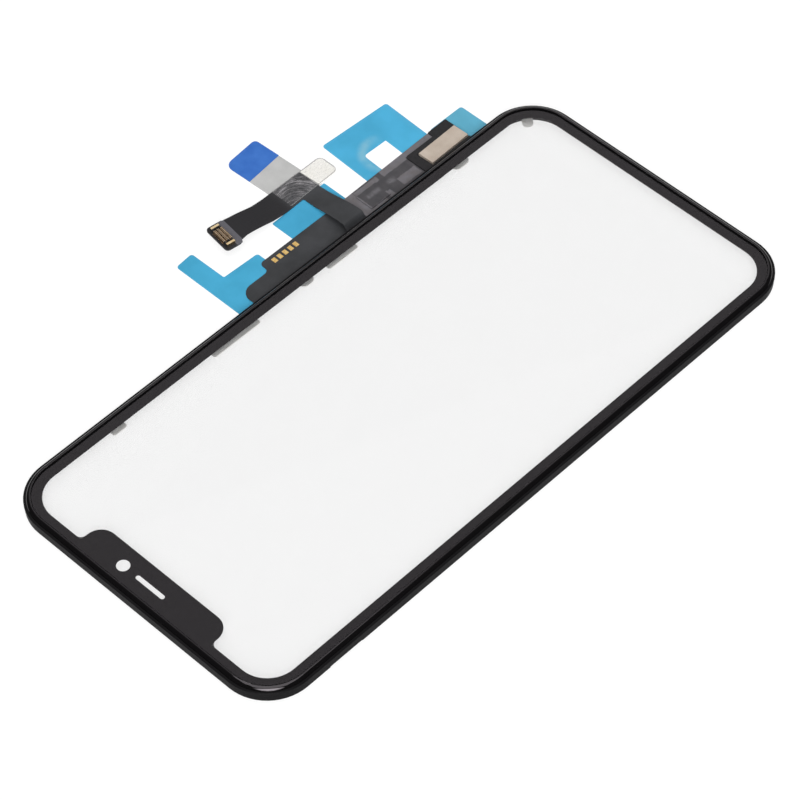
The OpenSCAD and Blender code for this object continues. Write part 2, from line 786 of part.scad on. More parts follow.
module connector_stiffener() {
    color([0.3, 0.3, 0.31])
        translate([0, 0, head_z - stiffener_t]) linear_extrude(stiffener_t)
            head_plan(head_l - stiffener_inset);
}

// Places what follows on the connector's own centre, in line with the head
module at_connector(z = 0) {
    translate([head_x, head_mid, connector_z + z]) rotate(head_turn)
        translate([0, connector_y - head_mid, 0]) children();
}

module connector_housing() {
    inner_l = connector_l - 2 * lug_l;
    color([0.12, 0.11, 0.1])
        at_connector()
            difference() {
                translate([0, 0, connector_h / 2])
                    cube([connector_l, connector_w, connector_h], center = true);
                difference() {
                    translate([-inner_l / 2, -trough_w / 2, connector_h - trough_d])
                        cube([inner_l, trough_w, trough_d + eps]);
                    translate([0, 0, connector_h / 2])
                        cube([inner_l - 2 * island_gap, island_w, connector_h], center = true);
                }
                contact_blocks();
                lug_blocks();
            }
}

// Contacts: a foot outside the wall, a bar over its top, a face down into the trough, a strip over
// the trough's floor, and a face that climbs the island and turns over its top
module contact_blocks() {
    wall = (connector_w - trough_w) / 2;
    face = trough_w / 2 - contact_t;
    floor_z = connector_h - trough_d;
    tip_gap = island_w / 8;
    for (i = [0:contact_count - 1], way = [-1, 1])
        translate([i * contact_pitch - contact_run / 2 - contact_w / 2, 0, 0])
            mirror([0, way > 0 ? 0 : 1, 0]) {
                translate([0, face, floor_z]) cube([contact_w, contact_t, trough_d]);
                translate([0, face, connector_h - contact_t])
                    cube([contact_w, wall + 2 * contact_t, contact_t]);
                translate([0, face + wall + contact_t, 0]) cube([contact_w, contact_t, connector_h]);
                translate([0, face + wall + contact_t, 0]) cube([contact_w, 3 * contact_t, contact_t]);
                translate([0, island_w / 2, floor_z]) cube([contact_w, face - island_w / 2, contact_t]);
                translate([0, island_w / 2, floor_z]) cube([contact_w, contact_t, trough_d]);
                translate([0, tip_gap, connector_h - contact_t])
                    cube([contact_w, island_w / 2 + contact_t - tip_gap, contact_t]);
            }
}

// Lugs: caps of bent sheet metal over the two ends of the housing
module lug_blocks() {
    for (way = [-1, 1])
        mirror([way > 0 ? 0 : 1, 0, 0])
            translate([connector_l / 2 - lug_l + contact_t, 0, 0]) {
                translate([0, -connector_w / 2, connector_h - contact_t])
                    cube([lug_l, connector_w, contact_t]);
                translate([lug_l - contact_t, -connector_w / 2, 0])
                    cube([contact_t, connector_w, connector_h]);
            }
}

module connector_contacts() color([0.86, 0.66, 0.42]) at_connector() contact_blocks();

module connector_lugs() color([0.9, 0.74, 0.5]) at_connector() lug_blocks();

module corner_tape() {
    color([0.75, 0.76, 0.78, 0.4])
        sheet([
            [tail_left + corner_tape_inset, corner_tape_y, 0.2], [tape_right, corner_tape_y, 0.2],
            [tape_right, tape_tab_y, tape_tab_r], [tab_left, tape_tab_y, tape_tab_r]
        ], flex_top, tape_t);
}

module tape_tab() {
    color([0.93, 0.92, 0.9])
        sheet([
            [tail_left + corner_tape_inset, arm_y - 0.45, 0.1], [tape_right, arm_y - 0.15, 0.1],
            [tape_right, tape_tab_y, tape_tab_r], [tab_left, tape_tab_y, tape_tab_r]
        ], flex_top - tab_t, tab_t);
}

module pull_strip() {
    left = tail_left + corner_tape_inset;
    top = strip_y + strip_w + strip_skew;
    color([0.72, 0.72, 0.71])
        sheet([
            [left, strip_y + strip_w, 0.3], [side + handle_start, top, 0],
            [side + strip_reach - 0.9, top, handle_r - handle_rim],
            [side + strip_reach, strip_y + 2 * strip_skew, 2 * handle_rim],
            [side + handle_start, strip_y + strip_skew, 0], [left, strip_y, 0.3]
        ], 0, strip_t);
}

module pull_handle() {
    right = side + strip_reach + handle_rim;
    left = side + handle_start;
    top = strip_y + strip_w + strip_skew;
    low = strip_y + strip_skew;
    color([0.22, 0.42, 0.78])
        sheet([
            [left - handle_rim, top, 0.1], [right - 0.75, top + handle_rim, handle_r],
            [right, low + handle_rim, 3 * handle_rim], [left + 2 * handle_rim, low, 0.1]
        ], strip_t, handle_t);
}

module strip_adhesive() {
    color([0.8, 0.8, 0.78, 0.5])
        translate([tail_left + 0.5, arm_y + 0.15, strip_t])
            cube([tail_w - 0.7, lift_start - arm_y - 0.3, flex_z - strip_t]);
}

module liner_upper() {
    low = upper_liner_y - upper_liner_branch;
    stem = wing_reach + upper_liner_stem;
    color([0.27, 0.64, 0.79])
        sheet([
            [flex_left, upper_liner_y, 0], [side + upper_liner_reach - 0.2, upper_liner_y, 0.7],
            [side + upper_liner_reach + 0.15, low + 0.1, 0.6], [side + stem + 0.25, low, 0.3],
            [side + stem - 0.1, upper_liner_end, 0.6], [side + upper_liner_under, upper_liner_end, 0.3],
            [side + upper_liner_under, low, 0.3], [flex_left, low, 0]
        ], 0, liner_t);
}

module liner_middle() {
    left = side + wing_reach - liner_overlap - 0.2;
    right = side + middle_liner_reach;
    color([0.27, 0.64, 0.79])
        sheet([
            [left, middle_liner_y, liner_r], [right, middle_liner_y, liner_r],
            [right + 0.3, middle_liner_end, liner_r], [left, middle_liner_end, liner_r]
        ], 0, liner_t);
}

module liner_square() {
    hole_end = -square_hole_inset - square_hole_l;
    color([0.27, 0.64, 0.79])
        translate([body_right, square_liner_y, 0]) rotate(square_liner_turn)
            linear_extrude(liner_t)
                difference() {
                    polygon(outline([
                        [-liner_overlap, 0, liner_r], [square_liner_w, 0, 2 * liner_r],
                        [square_liner_w - 0.15, -square_liner_l, 2 * liner_r],
                        [-liner_overlap, -square_liner_l, liner_r]
                    ]));
                    polygon(outline([
                        [-square_hole_under, -square_hole_inset, 0.2],
                        [square_hole_w, -square_hole_inset, 0.8], [square_hole_w + 0.1, hole_end, 0.15],
                        [-square_hole_under, hole_end, 0.2]
                    ]));
                }
}

module liner_lower() {
    color([0.36, 0.66, 0.77])
        sheet([
            [flex_left, lower_liner_top, liner_r],
            [flex_left + lower_liner_w, lower_liner_top, liner_r],
            [flex_left + lower_liner_w, lower_liner_y, 2 * liner_r], [flex_left, lower_liner_y, liner_r]
        ], 0, liner_t);
}

// Adhesive patches where the flex lies on its liners
module flex_adhesive() {
    edge = side + wing_reach - edge_margin;
    width = liner_overlap - liner_r;
    square_bond_l = square_liner_l - square_hole_inset - square_hole_l;
    color([0.8, 0.8, 0.78, 0.5])
        translate([0, 0, liner_t]) linear_extrude(flex_adhesive_t) {
            translate([side + upper_liner_under + liner_r, upper_liner_end + liner_r])
                square([wing_neck - upper_liner_under - 2 * liner_r, wing_step_y - upper_liner_end + 4]);
            translate([edge - width, middle_liner_end + liner_r])
                square([width, middle_liner_y - middle_liner_end - 2 * liner_r]);
            translate([body_right - width + liner_r, square_liner_y - square_liner_l + 4 * liner_r])
                square([width - 2 * liner_r, square_bond_l - 6 * liner_r]);
            translate([flex_left + liner_r, body_y + edge_margin])
                square([lower_liner_w - 2 * liner_r, lower_liner_top - body_y - 2 * liner_r]);
        }
}

cover_glass();
border_print();
sensor_adhesive();
touch_sensor();
display_adhesive();
display_liner();
bezel_frame();
frame_bond();
side_clips_right();
side_clips_left();
corner_clip();
flex_circuit();
contact_pads();
touch_controller();
controller_dam();
capacitors();
shield_tape();
connector_stiffener();
connector_housing();
connector_contacts();
connector_lugs();
corner_tape();
tape_tab();
pull_strip();
pull_handle();
strip_adhesive();
liner_upper();
liner_middle();
liner_square();
liner_lower();
flex_adhesive();
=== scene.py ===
import math

import bmesh
import bpy
from mathutils import Matrix, Vector, noise


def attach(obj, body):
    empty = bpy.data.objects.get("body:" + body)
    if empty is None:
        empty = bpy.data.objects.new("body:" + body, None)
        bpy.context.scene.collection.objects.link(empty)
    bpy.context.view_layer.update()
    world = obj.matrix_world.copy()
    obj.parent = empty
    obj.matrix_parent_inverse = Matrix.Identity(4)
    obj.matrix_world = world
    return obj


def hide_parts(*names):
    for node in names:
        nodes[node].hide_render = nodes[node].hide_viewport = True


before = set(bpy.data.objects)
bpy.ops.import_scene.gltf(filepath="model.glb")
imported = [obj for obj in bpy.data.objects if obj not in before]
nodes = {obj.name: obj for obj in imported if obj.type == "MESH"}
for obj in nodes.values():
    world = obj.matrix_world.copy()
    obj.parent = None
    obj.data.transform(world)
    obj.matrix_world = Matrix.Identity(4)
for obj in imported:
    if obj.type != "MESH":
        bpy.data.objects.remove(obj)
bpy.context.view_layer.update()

mm = 0.001

# The window is seen through ten faces of glass and film
bpy.context.scene.cycles.transparent_max_bounces = 32
bpy.context.scene.view_settings.view_transform = "Standard"

# Camera, at the photograph's angle. Places are in millimetres
cameraPlace = {
    "position": (-294.577, 295.893, 501.818),
    "aim": (-0.978, 3.328, 0.0),
    "lean": math.radians(1.33256),
    "lens": 156.795,
    "sensor": 36.0,
    "clip": (0.01, 20),
}


def makeCamera(place):
    eye = Vector(place["position"]) * mm
    forward = (Vector(place["aim"]) * mm - eye).normalized()
    level = forward.cross(Vector((0, 0, 1))).normalized()
    upright = level.cross(forward)
    up = upright * math.cos(place["lean"]) + level * math.sin(place["lean"])
    right = level * math.cos(place["lean"]) - upright * math.sin(place["lean"])
    data = bpy.data.cameras.new("photoCamera")
    data.lens = place["lens"]
    data.sensor_width = place["sensor"]
    data.clip_start, data.clip_end = place["clip"]
    camera = bpy.data.objects.new("photoCamera", data)
    bpy.context.scene.collection.objects.link(camera)
    turn = Matrix((right, up, -forward)).transposed().to_4x4()
    camera.matrix_world = Matrix.Translation(eye) @ turn
    bpy.context.scene.camera = camera


makeCamera(cameraPlace)
print("camera made")


noiseSpan = (0.3, 0.7)


# A small helper for building node materials
class Graph:
    def __init__(self, name, tree=None):
        if tree is None:
            self.material = bpy.data.materials.new(name)
            self.material.use_nodes = True
            tree = self.material.node_tree
        self.tree = tree
        self.tree.nodes.clear()

    def add(self, kind, inputs=None, **settings):
        node = self.tree.nodes.new(kind)
        for key, value in settings.items():
            setattr(node, key, value)
        for key, value in (inputs or {}).items():
            self.feed(node.inputs[key], value)
        return node

    def feed(self, socket, value):
        if isinstance(value, bpy.types.NodeSocket):
            self.tree.links.new(value, socket)
        elif socket.type == "RGBA":
            socket.default_value = (*value[:3], 1.0)
        else:
            socket.default_value = value

    def place(self):
        return self.add("ShaderNodeTexCoord").outputs["Object"]

    def math(self, kind, a, b=0.0, clamp=False):
        return self.add("ShaderNodeMath", {0: a, 1: b}, operation=kind, use_clamp=clamp).outputs[0]

    # Noise of one grain size, in millimetres, stretched along one direction if asked
    def noise(self, grain, detail=3.0, stretch=(1, 1, 1), turn=0.0):
        inputs = {"Vector": self.place(), "Scale": stretch, "Rotation": (0, 0, turn)}
        mapping = self.add("ShaderNodeMapping", inputs)
        node = self.add("ShaderNodeTexNoise", {"Vector": mapping.outputs[0], "Scale": 1 / (grain * mm)})
        node.inputs["Detail"].default_value = detail
        return node.outputs["Fac"]

    def ramp(self, value, low, high, first=0.0, second=1.0, smooth=False):
        node = self.add("ShaderNodeMapRange", {"Value": value, "From Min": low, "From Max": high})
        node.inputs["To Min"].default_value = first
        node.inputs["To Max"].default_value = second
        if smooth:
            node.interpolation_type = "SMOOTHSTEP"
        return node.outputs["Result"]

    # Noise mostly lies in the middle of its range, and is spread from there
    def spread(self, value, first=0.0, second=1.0):
        return self.ramp(value, *noiseSpan, first, second)

    def blend(self, share, first, second):
        node = self.add("ShaderNodeMix", {0: share, 6: first, 7: second}, data_type="RGBA")
        return node.outputs[2]

    def bump(self, height, depth):
        return self.add("ShaderNodeBump", {"Height": height, "Distance": depth * mm}).outputs["Normal"]

    # Mask of a rectangle [left, right, low, high] in millimetres, turned about its own middle
    def zone(self, box, soft, turn=0.0, wobble=None, radius=0.0):
        left, right, low, high = box
        middle = ((left + right) / 2 * mm, (low + high) / 2 * mm, 0)
        shifted = self.add("ShaderNodeVectorMath", {0: self.place(), 1: middle}, operation="SUBTRACT")
        turned = self.add("ShaderNodeVectorRotate", {"Vector": shifted.outputs[0], "Angle": -turn})
        axes = self.add("ShaderNodeSeparateXYZ", {"Vector": turned.outputs[0]}).outputs
        inX = self.math("SUBTRACT", (right - left) / 2 * mm, self.math("ABSOLUTE", axes[0]))
        inY = self.math("SUBTRACT", (high - low) / 2 * mm, self.math("ABSOLUTE", axes[1]))
        depth = self.math("MINIMUM", inX, inY)
        if radius:
            pastX = self.math("MAXIMUM", self.math("SUBTRACT", radius * mm, inX), 0.0)
            pastY = self.math("MAXIMUM", self.math("SUBTRACT", radius * mm, inY), 0.0)
            squares = self.math("ADD", self.math("POWER", pastX, 2.0), self.math("POWER", pastY, 2.0))
            corner = self.math("SUBTRACT", radius * mm, self.math("SQRT", squares))
            depth = self.math("MINIMUM", depth, corner)
        if wobble is not None:
            depth = self.math("ADD", depth, wobble)
        return self.ramp(depth, -soft * mm / 2, soft * mm / 2, smooth=True)

    def principled(self, **values):
        inputs = {key.replace("_", " "): value for key, value in values.items()}
        return self.add("ShaderNodeBsdfPrincipled", inputs).outputs[0]

    def mixShaders(self, share, first, second):
        return self.add("ShaderNodeMixShader", {0: share, 1: first, 2: second}).outputs[0]

    def finish(self, shader, kind="ShaderNodeOutputMaterial"):
        self.add(kind, {"Surface": shader})
        return getattr(self, "material", None)


def tone(red, green, blue):
    return tuple(((value / 255 + 0.055) / 1.055) ** 2.4 for value in (red, green, blue))


def wear(material, *names):
    for name in names:
        piece = nodes[name] if isinstance(name, str) else name
        piece.data.materials.clear()
        piece.data.materials.append(material)


# Glass, ink and the clear layers
glassLook = {
    "ior": 1.5, "tint": (0.982, 0.982, 0.982), "rough": (0.012, 0.045), "smear": 14,
    "tone": (1.0, 0.92, 0.98), "rim": (0.003, 0.0028, 0.003),
    "window": (31.2, 67.55), "windowRadius": 6.35,
    "notch": (-16.9, 16.9, 62.53, 75.0), "notchRadius": 3.4,
    "flat": (33.28, 69.63), "flatRadius": 8.44, "slip": 0.44, "soft": 0.1,
    "inkGrain": 0.12, "inkDark": (0.003, 0.0028, 0.0031), "inkLight": (0.0045, 0.0042, 0.0045),
    "inkRough": (0.03, 0.06), "inkSheen": 0.5,
}


# Box [left, right, low, high] round the middle, moved sideways by slip towards the flex and the far end
def middleBox(half, slip):
    return -half[0] + slip, half[0] + slip, -half[1] - slip, half[1] - slip


# Over the ink the flat glass is clear and the ink carries its sheen, which keeps it free of grain. The
# ink lies a little under the glass, so the masks of the two are slipped against each other. The rounded
# rim shows only the black below it, and is drawn as black glass. Its back faces are clear
def makeGlassMaterial(look):
    g = Graph("coverGlassPolish")
    back = g.add("ShaderNodeNewGeometry").outputs["Backfacing"]
    front = g.math("SUBTRACT", 1.0, back)
    fresnel = g.add("ShaderNodeFresnel", {"IOR": look["ior"]}).outputs[0]
    slip = look["slip"]
    left, right, low, high = look["notch"]
    window = g.zone(middleBox(look["window"], -slip), look["soft"], radius=look["windowRadius"])
    slipped = (left - slip, right - slip, low + slip, high)
    notch = g.zone(slipped, look["soft"], radius=look["notchRadius"])
    flat = g.zone(middleBox(look["flat"], 0), look["soft"], radius=look["flatRadius"])
    front = g.math("MULTIPLY", front, g.math("SUBTRACT", window, notch, True))
    smear = g.noise(look["smear"], 4, (1, 0.35, 1), 0.6)
    rough = g.spread(smear, *look["rough"])
    mirror = g.principled(Base_Color=(1, 1, 1), Metallic=1.0, Roughness=rough)
    clear = g.add("ShaderNodeBsdfTransparent", {"Color": look["tint"]}).outputs[0]
    pane = g.mixShaders(g.math("MULTIPLY", fresnel, front), clear, mirror)
    rim = g.principled(Base_Color=look["rim"], Roughness=rough, Specular_Tint=look["tone"])
    return g.finish(g.mixShaders(g.math("MAXIMUM", flat, back), rim, pane))


def makeInkMaterial(look):
    g = Graph("borderInk")
    flat = g.zone(middleBox(look["flat"], look["slip"]), look["soft"], radius=look["flatRadius"])
    grain = g.noise(look["inkGrain"], 4)
    colour = g.blend(g.spread(grain), look["inkDark"], look["inkLight"])
    return g.finish(g.principled(
        Base_Color=colour, Roughness=g.spread(g.noise(look["smear"], 4), *look["inkRough"]),
        Specular_IOR_Level=g.math("MULTIPLY", flat, look["inkSheen"]), Specular_Tint=look["tone"]
    ))


filmLooks = {
    "sensor_adhesive": {"alpha": 0.004, "tint": 0.99, "colour": (0.3, 0.3, 0.3), "rough": 0.3},
    "touch_sensor": {"alpha": 0.006, "tint": 0.985, "colour": (0.16, 0.16, 0.16), "rough": 0.12},
    "display_adhesive": {"alpha": 0.004, "tint": 0.99, "colour": (0.3, 0.3, 0.3), "rough": 0.3},
    "display_liner": {"alpha": 0.006, "tint": 0.986, "colour": (0.2, 0.2, 0.2), "rough": 0.15},
    "strip_adhesive": {"alpha": 0.5, "tint": 0.9, "colour": (0.6, 0.6, 0.58), "rough": 0.45},
    "flex_adhesive": {"alpha": 0.5, "tint": 0.9, "colour": (0.6, 0.6, 0.58), "rough": 0.45},
}

filmCloud = {"grain": 6, "dark": 0.8, "roughSpan": 0.08}


def makeFilmMaterial(name, look):
    g = Graph(name + "Clear")
    cloud = g.noise(filmCloud["grain"], 3)
    dark = tuple(value * filmCloud["dark"] for value in look["colour"])
    colour = g.blend(g.ramp(cloud, 0.35, 0.65), dark, look["colour"])
    roughest = look["rough"] + filmCloud["roughSpan"]
    film = g.principled(Base_Color=colour, Roughness=g.spread(cloud, look["rough"], roughest))
    clear = g.add("ShaderNodeBsdfTransparent", {"Color": (look["tint"],) * 3}).outputs[0]
    return g.finish(g.mixShaders(look["alpha"], clear, film))


wear(makeGlassMaterial(glassLook), "cover_glass")
wear(makeInkMaterial(glassLook), "border_print")
for name, look in filmLooks.items():
    wear(makeFilmMaterial(name, look), name)
for name in ("cover_glass", "sensor_adhesive", "touch_sensor", "display_adhesive", "display_liner"):
    nodes[name].visible_shadow = False
print("glass, ink and films done")


# Bezel, its adhesive ring and the clips
bezelLook = {
    "dark": (0.0055, 0.0052, 0.0058), "light": (0.0085, 0.0082, 0.0088), "grain": 0.09, "cloud": 9,
    "rough": (0.38, 0.5), "sheen": 0.05, "relief": 0.006,
}
bondLook = {"dark": (0.008, 0.008, 0.008), "light": (0.02, 0.02, 0.02), "grain": 0.15, "relief": 0.02}
clipLook = {
    "dark": tone(188, 187, 185), "light": tone(214, 213, 211), "grain": 0.3, "cloud": 1.4,
    "rough": (0.38, 0.52), "metal": 0.2, "relief": 0.004,
}


def makeBezelMaterial(look):
    g = Graph("bezelMoulding")
    grain = g.noise(look["grain"], 5)
    cloud = g.noise(look["cloud"], 3)
    colour = g.blend(g.spread(cloud), look["dark"], look["light"])
    return g.finish(g.principled(
        Base_Color=colour, Roughness=g.spread(grain, *look["rough"]), Specular_IOR_Level=look["sheen"],
        Normal=g.bump(grain, look["relief"])
    ))


def makeBondMaterial(look):
    g = Graph("foamBond")
    foam = g.noise(look["grain"], 5)
    colour = g.blend(g.spread(foam), look["dark"], look["light"])
    return g.finish(g.principled(Base_Color=colour, Roughness=0.85, Normal=g.bump(foam, look["relief"])))


def makeClipMaterial(look):
    g = Graph("stampedClip")
    brush = g.noise(look["grain"], 4, (1, 14, 1))
    spot = g.noise(look["cloud"], 3)
    colour = g.blend(g.spread(brush), look["dark"], look["light"])
    return g.finish(g.principled(
        Base_Color=colour, Metallic=look["metal"], Roughness=g.spread(spot, *look["rough"]),
        Normal=g.bump(brush, look["relief"])
    ))


wear(makeBezelMaterial(bezelLook), "bezel_frame")
wear(makeBondMaterial(bondLook), "frame_bond")
wear(makeClipMaterial(clipLook), "side_clips_right", "side_clips_left", "corner_clip")
print("bezel and clips done")


# Flex circuit: black coverlay with the copper runs just showing as relief, a bare band on the head, and
# painted shade on the lifted tail
flexLook = {
    "dark": tone(48, 49, 51),
    "light": tone(60, 61, 64),
    # Painted shade: the lifted tail is drawn darker than the rest of the flex, standing in for the weaker
    # light and sheen it catches
    "tail": tone(34, 33, 36),
    "tailBox": (47.6, 60.0, -17.0, 6.0),
    "band": tone(90, 89, 95),
    "bandBox": (47.4, 55.0, -3.95, -2.3),
    "turn": math.radians(-7.9),
}


def makeFlexMaterial(look):
    g = Graph("coverlayFilm")
    grain = g.noise(0.07, 4)
    cloud = g.noise(5, 3)
    runs = g.noise(0.45, 1, (1, 0.02, 1))
    colour = g.blend(g.spread(cloud), look["dark"], look["light"])
    # Painted shade darkens the lifted tail
    colour = g.blend(g.zone(look["tailBox"], 2.5), colour, look["tail"])
    band = g.zone(look["bandBox"], 0.15, look["turn"])
    colour = g.blend(band, colour, look["band"])
    relief = g.math("ADD", g.math("MULTIPLY", grain, 0.5), g.ramp(runs, 0.42, 0.58, smooth=True))
    return g.finish(g.principled(
        Base_Color=colour, Roughness=g.spread(grain, 0.46, 0.6), Specular_IOR_Level=0.28,
        Normal=g.bump(relief, 0.006)
    ))


def makeGoldMaterial(name, dark, light, rough):
    g = Graph(name)
    scratch = g.noise(0.12, 4, (1, 6, 1), 0.5)
    stain = g.noise(0.8, 2)
    colour = g.blend(g.spread(stain), dark, light)
    return g.finish(g.principled(
        Base_Color=colour, Metallic=1.0, Roughness=g.spread(scratch, rough, rough + 0.15),
        Normal=g.bump(scratch, 0.002)
    ))


wear(makeFlexMaterial(flexLook), "flex_circuit")
wear(makeGoldMaterial("padGold", (0.82, 0.52, 0.17), (0.98, 0.7, 0.3), 0.2), "contact_pads")
print("flex and pads done")


# Controller, its dam, the capacitors and the tape over them
chipLook = {
    "dark": tone(188, 173, 158), "light": tone(203, 190, 177), "speck": tone(150, 138, 125),
    "speckShare": 0.35, "metal": 0.3, "rough": (0.42, 0.6),
}
damLook = {"dark": (0.007, 0.0065, 0.0075), "light": (0.015, 0.014, 0.016), "rough": (0.3, 0.5), "sheen": 0.3}
capacitorLook = {"dark": (0.2, 0.13, 0.08), "light": (0.34, 0.24, 0.16)}


def makeChipMaterial(look):
    g = Graph("chipPlate")
    grain = g.noise(0.1, 5)
    cloud = g.noise(2.6, 3)
    colour = g.blend(g.spread(cloud), look["dark"], look["light"])
    colour = g.blend(g.ramp(grain, 0.45, 0.75, 0.0, look["speckShare"]), colour, look["speck"])
    return g.finish(g.principled(
        Base_Color=colour, Metallic=look["metal"], Roughness=g.spread(grain, *look["rough"]),
        Normal=g.bump(grain, 0.004)
    ))


def makeDamMaterial(look):
    g = Graph("damResin")
    flow = g.noise(0.7, 3)
    colour = g.blend(g.spread(flow), look["dark"], look["light"])
    return g.finish(g.principled(
        Base_Color=colour, Roughness=g.spread(flow, *look["rough"]), Specular_IOR_Level=look["sheen"],
        Normal=g.bump(flow, 0.03)
    ))


def makeCapacitorMaterial(look):
    g = Graph("capacitorBody")
    grain = g.noise(0.05, 3)
    colour = g.blend(g.spread(grain), look["dark"], look["light"])
    return g.finish(g.principled(Base_Color=colour, Roughness=0.5, Normal=g.bump(grain, 0.003)))


# What lies under the tape shows through as pale fields and smudges on a darker ground
tapeLook = {
    "ground": tone(66, 65, 68),
    "groundLight": tone(74, 72, 75),
    "fieldDark": tone(103, 99, 101),
    "field": tone(109, 107, 112),
    "pale": tone(109, 107, 111),
    "fields": [
        (35.0, 43.0, -27.7, -25.0), (40.85, 42.05, -34.1, -27.8), (40.85, 43.0, -52.0, -35.4),
        (36.4, 38.6, -41.5, -36.6), (36.05, 37.7, -33.75, -32.5), (35.0, 36.5, -31.6, -27.6),
    ],
    "smudges": [(38.6, 39.5, -32.2, -28.8), (38.5, 39.6, -36.5, -34.7)],
    "smudgeShare": 0.8,
    "wobble": 0.12,
}


def makeShieldMaterial(look):
    g = Graph("shieldTapeHaze")
    wobble = g.ramp(g.noise(0.9, 3), 0.2, 0.8, -look["wobble"] * mm, look["wobble"] * mm)
    field = 0.0
    for box in look["fields"]:
        field = g.math("MAXIMUM", g.zone(box, 0.35, 0.0, wobble, 0.15), field)
    cloud = g.noise(1.6, 4)
    ground = g.blend(g.ramp(cloud, 0.35, 0.65), look["ground"], look["groundLight"])
    colour = g.blend(field, ground, g.blend(g.ramp(cloud, 0.35, 0.65), look["field"], look["fieldDark"]))
    smudge = g.ramp(g.noise(1.5, 2), 0.38, 0.62, 0.3, 1.0, smooth=True)
    for box in look["smudges"]:
        pale = g.math("MULTIPLY", g.zone(box, 1.0, 0.0, wobble, 0.3), smudge)
        colour = g.blend(g.math("MULTIPLY", pale, look["smudgeShare"]), colour, look["pale"])
    streak = g.noise(0.9, 3, (1, 0.2, 1), 0.2)
    return g.finish(g.principled(
        Base_Color=colour, Roughness=g.spread(streak, 0.34, 0.5), Specular_IOR_Level=0.22,
        Normal=g.bump(g.noise(0.8, 3), 0.012)
    ))


wear(makeChipMaterial(chipLook), "touch_controller")
wear(makeDamMaterial(damLook), "controller_dam")
wear(makeCapacitorMaterial(capacitorLook), "capacitors")
wear(makeShieldMaterial(tapeLook), "shield_tape")
print("controller and shield tape done")


# Connector
def makeStiffenerMaterial():
    g = Graph("stiffenerLaminate")
    weave = g.noise(0.1, 3, (1, 5, 1))
    colour = g.blend(g.spread(weave), (0.018, 0.018, 0.019), (0.035, 0.034, 0.034))
    return g.finish(g.principled(Base_Color=colour, Roughness=0.6, Normal=g.bump(weave, 0.005)))


def makeHousingMaterial():
    g = Graph("connectorResin")
    grain = g.noise(0.06, 4)
    colour = g.blend(g.spread(grain), (0.011, 0.009, 0.008), (0.024, 0.02, 0.018))
    return g.finish(g.principled(
        Base_Color=colour, Roughness=g.spread(grain, 0.4, 0.55), Normal=g.bump(grain, 0.004)
    ))


wear(makeStiffenerMaterial(), "connector_stiffener")
wear(makeHousingMaterial(), "connector_housing")
wear(makeGoldMaterial("contactGold", (0.5, 0.34, 0.2), (0.74, 0.55, 0.37), 0.22), "connector_contacts")
wear(makeGoldMaterial("lugGold", (0.85, 0.62, 0.33), (0.97, 0.8, 0.52), 0.2), "connector_lugs")
print("connector done")


# Paper tab, pull strip and handle
def makePaperMaterial():
    g = Graph("tabPaper")
    fibre = g.noise(0.25, 5, (1, 2.5, 1), 0.4)
    cloud = g.noise(3, 3)
    colour = g.blend(g.spread(cloud), tone(249, 247, 240), tone(252, 250, 245))
    return g.finish(g.principled(
        Base_Color=colour, Roughness=g.spread(fibre, 0.6, 0.75), Specular_IOR_Level=0.2,
        Normal=g.bump(fibre, 0.006)
    ))


def makeStripMaterial():
    g = Graph("pullStripFilm")
    fibre = g.noise(0.3, 4, (0.3, 1, 1))
    cloud = g.noise(4, 3)
    colour = g.blend(g.spread(cloud), tone(176, 176, 175), tone(190, 190, 189))
    return g.finish(g.principled(
        Base_Color=colour, Roughness=g.spread(fibre, 0.45, 0.6), Specular_IOR_Level=0.25,
        Normal=g.bump(fibre, 0.006)
    ))


def makeHandleMaterial():
    g = Graph("handleFilm")
    cloud = g.noise(3.5, 3)
    grain = g.noise(0.2, 3)
    colour = g.blend(g.spread(cloud), tone(46, 99, 181), tone(59, 113, 193))
    return g.finish(g.principled(
        Base_Color=colour, Roughness=g.spread(grain, 0.35, 0.5), Specular_IOR_Level=0.2,
        Normal=g.bump(grain, 0.004)
    ))


wear(makePaperMaterial(), "tape_tab")
wear(makeStripMaterial(), "pull_strip")
wear(makeHandleMaterial(), "pull_handle")
print("pull tab done")


# Release liners: blue film, paler along its cut edges and in a pressed mark round the square window
linerLooks = {
    "liner_upper": {"colour": tone(66, 161, 199), "box": None},
    "liner_middle": {"colour": tone(64, 158, 197), "box": None},
    "liner_square": {"colour": tone(70, 165, 205), "box": (41.2, 56.0, -50.0, -32.0)},
    "liner_lower": {"colour": tone(92, 167, 194), "box": None},
}
pressMark = {
    "centre": (45.5 * mm, -40.0 * mm, 0), "radius": 4.2, "width": 1.7, "colour": tone(122, 180, 203),
    "side": (0.5, 0.866, 0.0), "from": -1.5, "to": 3,
}
linerCut = {
    "soft": 3.2, "turn": math.radians(-2.6), "wobble": 0.4, "share": 0.3, "colour": tone(120, 180, 205),
}
linerShade = {"dark": 0.93, "light": 1.06, "lift": 0.004}


